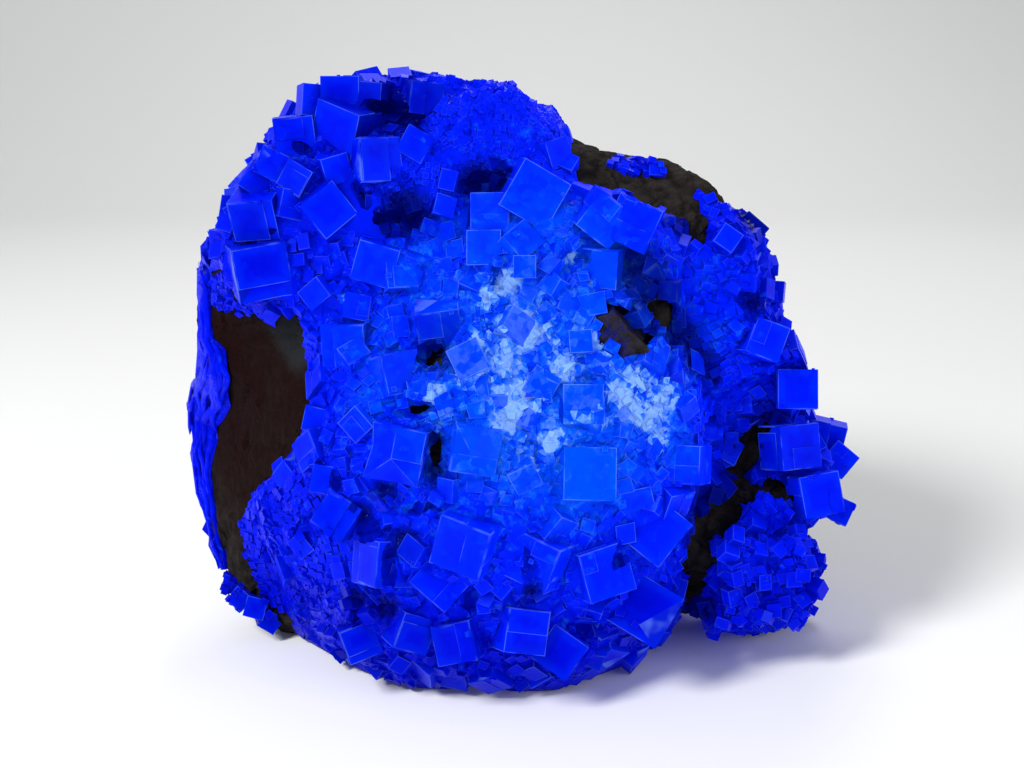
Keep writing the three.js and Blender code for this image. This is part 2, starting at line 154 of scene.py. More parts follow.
def applied(body):
    """The mesh of an object with its modifiers applied. The object itself goes."""
    shown = body.evaluated_get(bpy.context.evaluated_depsgraph_get())
    mesh = bpy.data.meshes.new_from_object(shown)
    bpy.data.objects.remove(body)
    return mesh


def plain_mesh(name, corners, faces):
    mesh = bpy.data.meshes.new(name)
    mesh.from_pydata(corners, [], faces)
    return mesh


def ball(fineness):
    solid = bmesh.new()
    bmesh.ops.create_icosphere(solid, subdivisions=fineness, radius=1)
    return solid


def numbers(items, key, wide=3, kind=float):
    """One row of numbers for each of a mesh's items."""
    values = np.zeros(len(items) * wide, kind)
    items.foreach_get(key, values)
    return values.reshape(-1, wide)


def mark(mesh, name, values):
    """Stores three numbers at every face corner."""
    layer = mesh.attributes.new(name, "FLOAT_VECTOR", "CORNER")
    layer.data.foreach_set("vector", np.asarray(values, np.float32).ravel())


def welded(name):
    solid = bmesh.new()
    solid.from_mesh(nodes[name].data)
    bmesh.ops.remove_doubles(solid, verts=solid.verts, dist=0.002 * MM)
    bmesh.ops.triangulate(solid, faces=solid.faces)
    solid.faces.ensure_lookup_table()
    for face in solid.faces:
        face.smooth = False
    solid.normal_update()
    return solid


rock_solid = welded("host_rock")
rock_tree = BVHTree.FromBMesh(rock_solid)
print("rock triangles:", len(rock_solid.faces))

# %% [markdown]
# ## Joining and cutting
#
# Thousands of crystals could be left as separate cubes that pass through one another, but then faces
# would flicker where they meet, and light that passes through the crust would find walls inside it.
# So they are joined into one closed skin with a Boolean modifier. Its Manifold solver takes a whole
# collection at once, and joins or cuts thousands of pieces in a few seconds.

# %% Join or cut


def combine(base, others, operation):
    """A base mesh joined with many others, or cut by them."""
    crystals = bpy.data.collections.new("crystals")
    bpy.context.scene.collection.children.link(crystals)
    for mesh in others:
        crystals.objects.link(bpy.data.objects.new("crystal", mesh))
    body = add_object("body", base)
    boolean = body.modifiers.new("combine", "BOOLEAN")
    boolean.operation = operation
    boolean.operand_type = "COLLECTION"
    boolean.collection = crystals
    boolean.solver = "MANIFOLD"
    result = applied(body)
    for thing in list(crystals.objects):
        bpy.data.objects.remove(thing)
    bpy.data.collections.remove(crystals)
    bpy.data.batch_remove([*others, base])
    return result


# %% [markdown]
# ## Hollows between the crystals
#
# A crust of crystals is never a closed wall. Where two clusters met, a gap stayed open, and it looks
# nearly black because little light comes out of it. Each hollow is one row: where it lies on the
# sheet, its half width, its half height, its lean in degrees and how deep it goes, in millimetres.
# A hollow is a lumpy pit along the line of sight, and it is cut out of the crust before the small
# crystals grow. They line its rim, and only a few grow deeper in.

# %% Cut the hollows
HOLLOWS = [
    (-31.6, 11.6, 6.5, 6.5, 0, 10), (-42.8, 66.4, 13, 5, -5, 11), (-13.5, 80.6, 10, 3.4, 16, 10),
    (-46.8, 108.8, 12, 4, -12, 8), (-106, 58.5, 12, 1.8, 15, 6), (-30, -30.4, 3.4, 11.5, 3, 8),
    (62, 28, 26, 6.5, -50, 7), (97, -23, 6, 17, -30, 14), (79.5, -51, 13.5, 12, 8, 15),
    (72.5, -82, 6.5, 17, -8, 13), (29, 92, 8, 8, 0, 11), (39, 80, 8, 4.5, -20, 9),
    (53, 73.5, 8, 4, -15, 9), (65, 68.5, 5.5, 5.5, -30, 9), (74, 62, 5.5, 8, 0, 11),
    (108, -42.4, 11, 3.5, -30, 8), (-56.8, -58.4, 7, 4.5, 20, 9), (-48.8, -74.4, 3.5, 9, 0, 9),
    (8, -80, 4, 12, 10, 7), (-62, -92, 3.5, 7, 0, 7), (-36, -50, 7, 3, 12, 8),
    (26, 50, 6, 3.5, 20, 7), (-6, 42, 3.5, 5, 0, 6), (-84, 94, 5, 2.5, -30, 7),
    (-60, 76, 3, 6, 30, 7), (-38, -10, 8, 3.5, 10, 8), (44, -68, 3, 6, -20, 7),
    (94, 32, 3.5, 8, 30, 9), (-88.4, 22, 6.5, 11, -12, 10), (30, -98, 6, 3, -10, 6),
    (-16, -86, 3.5, 6, 0, 6), (-70, -40, 3, 5, 20, 5),
]


class Pit:
    """A lumpy pit along the line of sight from a place on a crust."""

    def __init__(self, row, place):
        self.seed, _, self.half_width, self.half_height, lean, self.depth = row
        self.place = place
        self.sight = (place - EYE).normalized()
        self.side = ACROSS * math.cos(math.radians(lean)) + UP * math.sin(math.radians(lean))
        self.top = self.sight.cross(self.side).normalized()

    def mesh(self):
        lump = ball(3)
        for vert in lump.verts:
            swell = 1 + 0.35 * noise.noise(vert.co * 1.7 + Vector((self.seed, 0, 0)))
            x, y, z = vert.co * swell
            vert.co = self.place + (self.side * x * self.half_width
                                    + self.top * y * self.half_height
                                    + self.sight * z * self.depth) * MM
        mesh = mesh_from(lump, "pit")
        lump.free()
        return mesh

    def holds(self, point):
        """If a point lies well inside the pit, below its rim."""
        step = (Vector(point) - self.place) / MM
        deep = step.dot(self.sight)
        wide = math.hypot(step.dot(self.side) / self.half_width,
                          step.dot(self.top) / self.half_height)
        return wide < 1.15 and 1.5 < deep < self.depth * 1.4


def pits_of(surface):
    places = [(row, meet(row[0], row[1], surface)[0]) for row in HOLLOWS]
    return [Pit(row, place) for row, place in places if place is not None]


def hollowed(name):
    """The welded crust of that name with its hollows cut, and the hollows."""
    solid = welded(name)
    pits = pits_of(BVHTree.FromBMesh(solid)) if "patch" not in name else []
    if not pits:
        return solid, pits
    cut = combine(mesh_from(solid, "base"), [pit.mesh() for pit in pits], "DIFFERENCE")
    solid = bmesh.new()
    solid.from_mesh(cut)
    bmesh.ops.triangulate(solid, faces=solid.faces)
    solid.faces.ensure_lookup_table()
    solid.normal_update()
    return solid, pits


# %% [markdown]
# ## Which faces are crystal faces
#
# On real fluorite the sharp edges catch the light as thin pale lines, and the finish needs to know
# how far a point is from the edges of its own crystal face. A Boolean keeps values that are stored
# at the corners of faces and works them out again along every cut. So each face corner carries its
# distance to four edges: left, right, bottom and top, in millimetres. A side that has no edge gets
# a large number. It also carries a tone, from 0 to 1, and the size of its crystal.
#
# A large crystal's face is described by its own two directions, and by where its four edges lie
# along them. An edge that lies well inside the face's span is a cut by a neighbour, not an edge of
# the crystal, and is left out.

# %% One crystal face
NO_EDGE = 50.0


class CrystalFace:
    """One flat face of a large crystal: its directions, its edges and how far it reaches."""

    def __init__(self, group, edges, area, tone):
        self.area, self.tone = area / MM ** 2, tone
        self.size = min(math.sqrt(self.area) * 1.15, 20.0)
        self.normal = max(group, key=lambda face: face.calc_area()).normal.copy()
        longest = max(edges, key=lambda edge: edge.calc_length())
        self.right = (longest.verts[1].co - longest.verts[0].co).normalized()
        self.top = self.normal.cross(self.right)
        self.centre = sum((face.calc_center_median() * face.calc_area() for face in group),
                          Vector()) / area
        self.lines = [None, None, None, None]
        for edge in edges:
            along = (edge.verts[1].co - edge.verts[0].co).normalized()
            middle = (edge.verts[0].co + edge.verts[1].co) / 2
            axis = self.top if abs(along.dot(self.right)) > 0.9 else self.right
            side = (middle - self.centre).dot(axis)
            slot = (2 if axis is self.top else 0) + (1 if side > 0 else 0)
            reach = middle.dot(axis)
            if self.lines[slot] is None or (reach > self.lines[slot]) == (side > 0):
                self.lines[slot] = reach
        spots = [vert.co for face in group for vert in face.verts]
        self.span = [f(spot.dot(axis) for spot in spots)
                     for axis in (self.right, self.top) for f in (min, max)]
        for k, end in enumerate(self.span):
            if self.lines[k] is not None and abs(self.lines[k] - end) > 0.3 * MM:
                self.lines[k] = None

    def distances(self, place):
        result = []
        for axis, low, high in ((self.right, *self.lines[:2]), (self.top, *self.lines[2:])):
            reach = place.dot(axis)
            result.append(NO_EDGE if low is None else (reach - low) / MM)
            result.append(NO_EDGE if high is None else (high - reach) / MM)
        return result


# %% [markdown]
# ## Finding the crystal faces
#
# The large crystals came with the solids, so their faces have to be found again. A crystal face is
# a flat region that meets another flat region at a right angle, along an edge that sticks out. The
# search begins at the largest triangle each time and takes in its neighbours as long as they lie
# in its plane. The vein has flat parts as well, but no cubes, so its side of the stone is skipped.

# %% Find the crystal faces
VEIN_SIDE = -111  # the vein lies beyond this, below the shoulder
VEIN_TOP = 40
IN_PLANE = 0.03 * MM  # how far a corner may lie from the plane of its face
SQUARE = 0.03  # how far from a right angle two faces may meet, as a cosine
SMALLEST = 9  # the least area of a crystal face, in square millimetres


def flat_regions(solid):
    """Groups of touching triangles that lie in one plane."""
    seen, groups = set(), []
    for seed in sorted(solid.faces, key=lambda face: -face.calc_area()):
        if seed.index in seen:
            continue
        root = seed.verts[0].co
        seen.add(seed.index)
        group, open_faces = [], [seed]
        while open_faces:
            face = open_faces.pop()
            group.append(face)
            for edge in face.edges:
                for other in edge.link_faces:
                    if other.index in seen or seed.normal.dot(other.normal) < 0.7:
                        continue
                    if all(abs((vert.co - root).dot(seed.normal)) < IN_PLANE
                           for vert in other.verts):
                        seen.add(other.index)
                        open_faces.append(other)
        groups.append(group)
    return groups


def sharp_edges(group):
    """The edges of a flat region that stick out at a right angle."""
    members = {face.index for face in group}
    normal = max(group, key=lambda face: face.calc_area()).normal
    found = []
    for face in group:
        for edge in face.edges:
            for other in edge.link_faces:
                if other.index in members or abs(other.normal.dot(normal)) > SQUARE:
                    continue
                middle = (edge.verts[0].co + edge.verts[1].co) / 2
                if (other.calc_center_median() - middle).dot(normal) < 0:
                    found.append(edge)
    return found


def crystal_faces(solid, rng, smallest):
    """The large crystals' faces. Each triangle of the solid keeps the number of its own."""
    own = solid.faces.layers.int.new("own")
    found = []
    for group in flat_regions(solid):
        area = sum(face.calc_area() for face in group)
        edges = sharp_edges(group)
        middle = on_sheet(group[0].calc_center_median())[0]
        if middle[0] < VEIN_SIDE and middle[1] < VEIN_TOP:
            continue
        if area < smallest * MM * MM or sum(edge.calc_length() for edge in edges) < 4 * MM:
            continue
        found.append(CrystalFace(group, edges, area, rng.random()))
        for face in group:
            face[own] = len(found)
    return found


def marked_mesh(solid, crystals):
    """A mesh of the solid whose face corners carry distances, tone and size."""
    own = solid.faces.layers.int["own"]
    mesh = mesh_from(solid, "crust")
    mesh.polygons.foreach_set("use_smooth", [False] * len(mesh.polygons))
    sides, ends = [], []
    for face in solid.faces:
        large = crystals[face[own] - 1] if face[own] else None
        for corner in face.loops:
            near = large.distances(corner.vert.co) if large else [NO_EDGE] * 4
            sides += [near[0], near[1], large.tone if large else 0.5]
            ends += [near[2], near[3], large.size if large else 0.0]
    mark(mesh, "sides", sides)
    mark(mesh, "ends", ends)
    return mesh


# %% [markdown]
# ## A lumpy skin
#
# Between the crystals that can be told apart, a crust is massive: a tangle of crystals that grew
# into one another and stopped at slightly different heights. The skin of the solid is too flat for
# that. Its triangles are divided, and every part of it a few millimetres wide is lifted to a height
# of its own. Corners that belong to a large crystal stay where they are.

# %% Lumpy skin
LONGEST_EDGE = 3.5 * MM


def skin_height(place):
    """How far the skin stands out at a point, in millimetres."""
    p = place / MM
    _, seeds = noise.voronoi(p / 5.5)
    block = noise.cell(seeds[0] * 9.7)
    return 1.5 * block + 1.2 * noise.noise(p / 11) - 0.6


def make_lumpy(solid, passes=1):
    own = solid.faces.layers.int["own"]
    skin = set()
    for face in solid.faces:
        centre = face.calc_center_median()
        if not face[own] and centre.z > 1 * MM and rock_tree.find_nearest(centre)[3] > 1.5 * MM:
            skin.add(face)
    for _ in range(passes):
        edges = [edge for edge in solid.edges if edge.calc_length() > LONGEST_EDGE
                 and all(face in skin for face in edge.link_faces)]
        bmesh.ops.subdivide_edges(solid, edges=edges, cuts=2, use_grid_fill=True)
        bmesh.ops.triangulate(solid, faces=solid.faces)
        skin = {face for face in solid.faces if not face[own]}
    solid.normal_update()
    lifted = []
    for vert in solid.verts:
        if any(face[own] for face in vert.link_faces) or vert.co.z < 2 * MM:
            continue
        if rock_tree.find_nearest(vert.co)[3] > 2.5 * MM:
            lifted.append((vert, vert.co + vert.normal * skin_height(vert.co) * MM))
    for vert, place in lifted:
        vert.co = place
    solid.faces.ensure_lookup_table()
    solid.normal_update()


# %% [markdown]
# ## One small crystal
#
# A small crystal is a cube, or a block, whose face corners carry the same numbers as the large
# crystals' faces. It is sunk into the surface so that less than half of it stands out.
#
# Crystals that are turned quite at random look like spilt sugar lumps. In a real crust, neighbours
# that started from one seed share its directions, so a patch of the crust is made of little steps
# that run the same way. `Lattices` gives each patch its own directions, from which its crystals
# stray by a few degrees. About one crystal in eight follows no neighbour.

# %% One crystal
CUBE_CORNERS = [Vector((x, y, z)) for x in (-0.5, 0.5) for y in (-0.5, 0.5) for z in (-0.5, 0.5)]
CUBE_FACES = [(0, 1, 3, 2), (4, 6, 7, 5), (0, 4, 5, 1), (2, 3, 7, 6), (0, 2, 6, 4), (1, 5, 7, 3)]
CUBE_AXES = [(1, 2), (1, 2), (0, 2), (0, 2), (0, 1), (0, 1)]
CUBE_PLACES = np.array([[CUBE_CORNERS[i][axis] + 0.5 for axis in axes]
                        for face, axes in zip(CUBE_FACES, CUBE_AXES) for i in face])
CUBE_LENGTHS = np.repeat(np.array(CUBE_AXES), 4, axis=0)


def crystal(centre, turn, shape, tone, broken=None):
    """A block of that shape in millimetres, with its marks. A broken one has shifted corners."""
    grow = Matrix.Diagonal(Vector(shape) * MM)
    places = CUBE_CORNERS if broken is None else [c + Vector(b) for c, b in
                                                  zip(CUBE_CORNERS, broken)]
    corners = [centre + turn @ (grow @ corner) for corner in places]
    mesh = plain_mesh("crystal", corners, CUBE_FACES)
    lengths = np.array(shape)[CUBE_LENGTHS]
    near = CUBE_PLACES * lengths
    far = lengths - near
    rest = np.full(24, tone), np.full(24, sorted(shape)[1])
    for k, name in enumerate(("sides", "ends")):
        mark(mesh, name, np.stack([near[:, k], far[:, k], rest[k]], 1))
    return mesh


class Lattices:
    """The directions in which crystals grow, one for each patch of a crust."""

    def __init__(self, rng, patch):
        self.rng, self.patch, self.known = rng, patch, {}

    def turn(self, point, normal):
        rng = self.rng
        _, seeds = noise.voronoi(Vector(point) / (self.patch * MM))
        key = tuple(round(c, 3) for c in seeds[0])
        if key not in self.known:
            tip = Euler((rng.uniform(-0.24, 0.24), rng.uniform(-0.24, 0.24), rng.uniform(0, 1.57)))
            self.known[key] = upright(normal) @ tip.to_quaternion()
        if rng.random() < 0.12:
            return (upright(normal) @ Euler(rng.uniform(-0.6, 0.6, 3)).to_quaternion()).to_matrix()
        stray = Euler(rng.uniform(-0.1, 0.1, 3)).to_quaternion()
        return (self.known[key] @ stray).to_matrix()


# %% [markdown]
# ## Steps on the large faces
#
# The large faces are not blank. The crystal grew in thin layers, and often the last one stopped
# part of the way across and left a step half a millimetre high. Here and there a tiny crystal sits
# on the face, in line with it, because it grew on the same lattice.

# %% Steps and riders
ROOMY = 70  # a face needs this area for a step, in square millimetres


def face_growths(rng, faces):
    """Layers and tiny crystals on the large faces."""
    found = []
    for face in faces:
        if face.area < ROOMY:
            continue
        turn = Matrix((face.right, face.top, face.normal)).transposed()
        x1, x2, y1, y2 = face.span
        plane = face.centre.dot(face.normal)

        def spot(x, y, z):
            return face.right * x + face.top * y + face.normal * (plane + z)

        if rng.random() < 0.7:
            inset = 0.3 * MM
            wide = (x2 - x1 - 2 * inset) * rng.uniform(0.3, 0.85)
            tall = (y2 - y1 - 2 * inset) * rng.choice([1.0, rng.uniform(0.4, 0.9)])
            x = x1 + inset + wide / 2 if rng.random() < 0.5 else x2 - inset - wide / 2
            y = y1 + inset + tall / 2 if rng.random() < 0.5 else y2 - inset - tall / 2
            thick = rng.uniform(0.35, 0.6) * MM
            shape = (wide / MM, tall / MM, thick / MM)
            found.append(crystal(spot(x, y, 0), turn, shape, face.tone))
        for _ in range(rng.integers(0, 2)):
            edge = rng.uniform(1.0, 2.6) * MM
            x, y = rng.uniform(x1, x2), rng.uniform(y1, y2)
            z = rng.uniform(-0.35, -0.05) * edge
            found.append(crystal(spot(x, y, z), turn, [edge / MM] * 3, rng.random()))
    return found


# %% [markdown]
# ## Where small crystals may grow
#
# Small crystals grow on the outer side of a crust, not on the side that sits on the rock. The
# triangles of the solid are sorted with the tree of the rock: those that lie closer to the rock
# than half a millimetre are its underside. The large crystals' own faces stay clean, so a second
# tree holds those faces. `Crowd` keeps new crystals from standing on one another.

# %% Growing places
UNDERSIDE = 0.5 * MM
BLANK = 30  # crystal faces above this area, in square millimetres, stay blank
GUARDED = 40  # and above this area nothing may poke through them


def growing_places(solid, crystals):
    """Arrays of the outer triangles: corners, normals and areas."""
    own = solid.faces.layers.int["own"]
    corners, normals, areas = [], [], []
    for face in solid.faces:
        centre = face.calc_center_median()
        gap = rock_tree.find_nearest(centre)[3]
        large = face[own] and crystals[face[own] - 1].area > BLANK
        if gap < UNDERSIDE or centre.z < UNDERSIDE or large:
            continue
        corners.append([vert.co[:] for vert in face.verts])
        normals.append(face.normal[:])
        areas.append(face.calc_area())
    return np.array(corners), np.array(normals), np.array(areas)


def scatter(rng, places, count):
    """Random points on the growing places, with the surface's direction at each."""
    corners, normals, areas = places
    pick = rng.choice(len(areas), count, p=areas / areas.sum())
    a, b = rng.random(count), rng.random(count)
    fold = a + b > 1
    a[fold], b[fold] = 1 - a[fold], 1 - b[fold]
    p = corners[pick]
    points = p[:, 0] + a[:, None] * (p[:, 1] - p[:, 0]) + b[:, None] * (p[:, 2] - p[:, 0])
    return points, normals[pick]


def clean_tree(solid, crystals):
    """A tree of the large crystals' faces."""
    own = solid.faces.layers.int["own"]
    faces = [face for face in solid.faces if face[own] and crystals[face[own] - 1].area > GUARDED]
    corners = [vert.co for face in faces for vert in face.verts]
    return BVHTree.FromPolygons(corners, [(i, i + 1, i + 2) for i in range(0, len(corners), 3)])


class Crowd:
    """Remembers what already grows where, in a grid, and says if a new crystal has room."""

    def __init__(self):
        self.cell = 8 * MM
        self.taken = {}

    def key(self, point):
        return tuple(int(math.floor(c / self.cell)) for c in point)

    def has_room(self, point, edge, close):
        kx, ky, kz = self.key(point)
        for x in (kx - 1, kx, kx + 1):
            for y in (ky - 1, ky, ky + 1):
                for z in (kz - 1, kz, kz + 1):
                    for other, size in self.taken.get((x, y, z), ()):
                        if math.dist(point, other) < close * (edge + size) * MM:
                            return False
        return True

    def add(self, point, edge):
        self.taken.setdefault(self.key(point), []).append((tuple(point), edge))


# %% [markdown]
# ## Sizes of the small crystals
#
# Crystals of one size grow together in patches. The broken middle of the front is a rubble of small
# cubes, with sugary spots in it, the lower front has larger ones, and a field at the top is druse:
# grains about two millimetres across. The patches are listed on the sheet. `habit` gives the usual
# edge length at every point, and how far a broken crystal's corners are shifted.

# %% Sizes
DRUSE = [(-38, 126), (-29, 128), (-17, 128), (5, 122), (16, 113), (26, 102), (13, 93), (-5, 89),
         (-17, 84), (-29, 78), (-45, 73), (-51, 77), (-45, 88), (-37, 98), (-35, 110)]
CENTRE = (14, 4)
PALE_SPOTS = [
    (3, 23, 8), (2, -5, 8), (-1, -14, 6), (61, -5, 6), (56, -14, 6), (59, -22, 4), (-2, 8, 5),
    (20, 7, 5), (43, -4, 5), (48, -10, 5), (15, -22, 4), (24, 50, 3), (-2, 40, 5), (-14, 16, 4),
    (-17, 5, 5), (-31, -4, 4), (29, 20, 2), (34, 16, 2), (38, 10, 2), (12, 20, 4), (34, -14, 4),
    (-9, 35, 4), (8, -32, 4), (50, 2, 4),
]


def habit(points, name):
    """The small crystals' usual edge length at each point, and how broken they are."""
    places = on_sheet(points)
    across, up = places[:, 0], places[:, 1]
    usual = {"right_crystals": 3.0, "knuckle_crystals": 4.2, "foot_crystals": 4.0,
             "top_patch_crystals": 2.4, "low_patch_crystals": 2.4}.get(name, 6.0)
    edges, broken = np.full(len(points), usual), np.zeros(len(points))
    if name == "right_crystals":
        edges[across > 94] = 4.8
    if name == "front_crystals":
        front = points[:, 1] < 0.03
        edges[front & (up < -38)] = 7.6
        edges[front & (up > 36) & (across < -40)] = 7.0
        edges[front & (across < -62) & (up < 36)] = 4.0
        edges[front & (across < -68) & (up < -36) & (up > -96)] = 2.9
        middle = front & (np.hypot(across - CENTRE[0], up - CENTRE[1]) < 48)
        edges[middle], broken[middle] = 4.8, 0.07
        for x, y, size in PALE_SPOTS:
            spot = front & (np.hypot(across - x, up - y) < size)
            edges[spot], broken[spot] = 2.9, 0.15
        grains = inside(DRUSE, places) & (points[:, 1] < 0.06)
        edges[grains], broken[grains] = 2.1, 0.0
    return edges, broken


# %% [markdown]
# ## Three rounds of growth
#
# Three rounds fill a patch: large crystals first, then medium ones, then small ones in the gaps.
# Each round has its share of the usual edge length, how many places are tried for each square
# centimetre, and how close two crystals may come, as a part of their two edges together.
#
# A place is given up when it has no room, or when the crystal would poke through a large crystal's
# face. In a pit most places are given up, and the crystals that do grow there are small. Where the
# surface is seen edge on, the crystals sit deeper, so that the stone keeps the solid's outline.

# %% Three rounds
ROUNDS = [((0.95, 1.6), 12.0, 0.44), ((0.6, 0.85), 9.0, 0.4), ((0.34, 0.5), 9.0, 0.4)]
EVEN = (0.8, 1.2)  # the share for grains, which are all much alike
TOP_RIM = 112  # above this the crystals stay small
SHOULDER = 52  # below this, on the vein's side, none grow


def small_crystals(rng, solid, crystals, pits, name):
    """Meshes of the small crystals that grow on one crust."""
    places = growing_places(solid, crystals)
    lattices = Lattices(rng, 14)
    clean = clean_tree(solid, crystals) if "patch" not in name else None
    area = places[2].sum() / (10 * MM) ** 2
    crowd, found = Crowd(), []
    for share, tries, close in ROUNDS:
        points, normals = scatter(rng, places, int(area * tries))
        for point, normal, middling, rough in zip(points, normals, *habit(points, name)):
            across, up = on_sheet(point)[0]
            if across < VEIN_SIDE and up < SHOULDER and name == "front_crystals":
                continue
            if up > TOP_RIM:
                middling = min(middling, 4.0)
            edge = middling * rng.uniform(*(EVEN if middling < 3 else share))
            if any(pit.holds(point) for pit in pits):
                if rng.random() < 0.7:
                    continue
                edge *= 0.55
            sunk = rng.uniform(0.2, 0.46) if middling > 3.5 else rng.uniform(0.14, 0.34)
            sight = point - np.array(EYE)
            if abs(normal @ sight) < 0.4 * np.linalg.norm(sight):
                sunk = rng.uniform(0.4, 0.5)
            centre = point - normal * sunk * edge * MM
            if centre[2] < 0.95 * edge * MM or not crowd.has_room(point, edge, close):
                continue
            if clean and (rng.random() > 0.1 or edge > 4):
                reach = (0.92 if edge > 4 else 0.68) * edge * MM
                if clean.find_nearest(centre, reach)[3] is not None:
                    continue
            crowd.add(point, edge)
            shape = edge * rng.uniform(0.82, 1.18, 3)
            turn = lattices.turn(point, normal)
            shifts = rng.normal(0, rough, (8, 3)) if rough else None
            found.append(crystal(Vector(centre), turn, list(shape), rng.uniform(0.3, 0.7), shifts))
    return found


# %% [markdown]
# ## The vein
#
# A thin vein of fluorite runs down the left edge of the rock. It has no cubes: it filled a crack,
# so it is made of long thin fibres that lie side by side, swell in the middle and run out to a
# point. The solid has its plain ribbon. Over it go flattened strands, each a tube that follows the
# vein's course at its own distance from the middle. Two hair-thin ones lie by themselves further
# left.
#
# The course is a list of places on the sheet with the vein's width at each. Each strand has where
# it starts and ends along the course, from 0 to 1, its distance from the middle as a part of the
# vein's width, and its own width and height in millimetres.

# %% The vein's course
VEIN_COURSE = [(-124, 54, 6), (-123, 44, 4.4), (-122.6, 31, 4), (-121.8, 20, 4.2),
               (-120.4, 13, 8.8), (-119.8, 4, 11.6), (-121.8, -5, 14), (-123.6, -13, 12.5),
               (-124, -24, 11), (-124.2, -34, 8.5), (-122, -48, 6), (-120.4, -54, 4.8),
               (-118, -64, 3.6), (-114.6, -74, 2.6)]
STRANDS = [(0.0, 0.62, 0.0, 2.6, 1.3), (0.04, 0.5, -0.3, 1.6, 1.0), (0.1, 0.55, 0.34, 1.7, 1.1),
           (0.28, 0.72, 0.42, 2.0, 1.2), (0.3, 0.62, 0.14, 2.8, 1.7), (0.34, 0.7, -0.2, 2.6, 1.5),
           (0.4, 0.6, -0.5, 3.0, 1.7), (0.42, 1.0, -0.36, 1.8, 1.2), (0.46, 0.98, 0.3, 1.9, 1.2),
           (0.5, 0.86, 0.0, 2.0, 1.1), (0.55, 0.8, -0.1, 1.4, 1.4), (0.32, 0.52, 0.3, 3.2, 1.6)]
HAIRLINES = [[(-129.6, 50), (-130.6, 43), (-131.2, 36)],
             [(-132.4, 14), (-133.4, 6), (-133.0, -2), (-132.2, -8)]]
print("strands:", len(STRANDS), "hairlines:", len(HAIRLINES))

# %% [markdown]
# ## One strand
#
# A strand is a tube with eight sides. At every step along its course a ring of corners is set round
# the place where the line of sight meets the stone: wide along the surface, low away from it, and
# tapered at both ends. Noise lets it swell and dip a little. It gets the marks of a small crystal
# without edges.

# %% Vein strands
STRAND_TONE, STRAND_SIZE = 0.4, 2.9


def strand(course, width, height, trees, wander):
    """A flattened tube that lies on the stone along a course on the sheet."""
    spots = [first_met(across, up, trees) for across, up in course]
    spots = [spot for spot in spots if spot]
    corners, n, count = [], 8, len(spots)
    for i, (place, normal) in enumerate(spots):
        along = (spots[min(i + 1, count - 1)][0] - spots[max(i - 1, 0)][0]).normalized()
        side = along.cross(normal).normalized()
        t = i / (count - 1)
        taper = min(1.0, 5 * t, 5 * (1 - t)) ** 0.6 * (0.8 + 0.35 * noise.noise(place / MM / 6))
        taper = max(taper, 0.12)
        lift = 0.25 + 0.4 * noise.noise(place / MM / 4 + Vector((wander, 0, 0)))
        for k in range(n):
            a = 2 * math.pi * k / n
            corners.append(place + (side * math.cos(a) * width * 0.75 * taper
                                    + normal * (math.sin(a) * height * 0.6 * taper + lift)) * MM)
    faces = [(i * n + k, i * n + (k + 1) % n, (i + 1) * n + (k + 1) % n, (i + 1) * n + k)
             for i in range(count - 1) for k in range(n)]
    faces += [tuple(range(n))[::-1], tuple(range((count - 1) * n, count * n))]
    mesh = plain_mesh("strand", corners, faces)
    tidy = bmesh.new()
    tidy.from_mesh(mesh)
    bmesh.ops.recalc_face_normals(tidy, faces=tidy.faces)
    tidy.to_mesh(mesh)
    tidy.free()
    for name, last in (("sides", STRAND_TONE), ("ends", STRAND_SIZE)):
        mark(mesh, name, [[NO_EDGE, NO_EDGE, last]] * len(mesh.loops))
    return mesh


def vein_strands(rng):
    trees = [rock_tree, BVHTree.FromBMesh(welded("front_crystals"))]
    middle = np.array(VEIN_COURSE, float)
    rows = np.arange(len(middle))
    found = []
    for start, end, off, width, height in STRANDS:
        t = np.linspace(start, end, int((end - start) * 60) + 8) * (len(middle) - 1)
        across, up, wide = (np.interp(t, rows, middle[:, k]) for k in range(3))
        weave = 0.09 * np.sin(t * 2.3 + rng.uniform(0, 6)) + 0.04 * np.sin(t * 5.1)
        course = list(zip(across + (off + weave) * wide, up))
        found.append(strand(course, width, height, trees, off * 40))
    for line in HAIRLINES:
        path = np.array(line, float)
        t = np.linspace(0, len(path) - 1, 14)
        course = list(zip(*(np.interp(t, np.arange(len(path)), path[:, k]) for k in range(2))))
        found.append(strand(course, 1.2, 0.7, trees, 3.0))
    print("vein strands:", len(found))
    return found


# %% [markdown]
# ## Growing a crust
#
# `grow_crust` puts it together: the hollowed solid with its marked faces, the steps on the large
# crystals, and the small crystals, joined into one piece. The foot at the lower right is massive,
# so none of its faces count as crystal faces and its skin is made lumpy twice. In two places
# grains are strewn on the bare rock itself: in the little patch on the upper slope, and along the
# ragged lower edge of the crust above the bare face.

# %% Grow the crusts


def strewn(rng, middle, reach, count):
    """Grains on the bare rock, in an oval patch on the sheet."""
    found = []
    for _ in range(count):
        angle, far = rng.uniform(0, 2 * math.pi), math.sqrt(rng.random())
        across = middle[0] + reach[0] * far * math.cos(angle)
        up = middle[1] + reach[1] * far * math.sin(angle) - 0.12 * (across - middle[0])
        place, normal = meet(across, up, rock_tree)
        if place is not None:
            edge = rng.uniform(1.8, 3.2)
            turn = upright(normal) @ Euler(rng.uniform(-0.5, 0.5, 3)).to_quaternion()
            found.append(crystal(place + normal * 0.1 * edge * MM, turn.to_matrix(), [edge] * 3,
                                 rng.uniform(0.3, 0.7)))
    return found


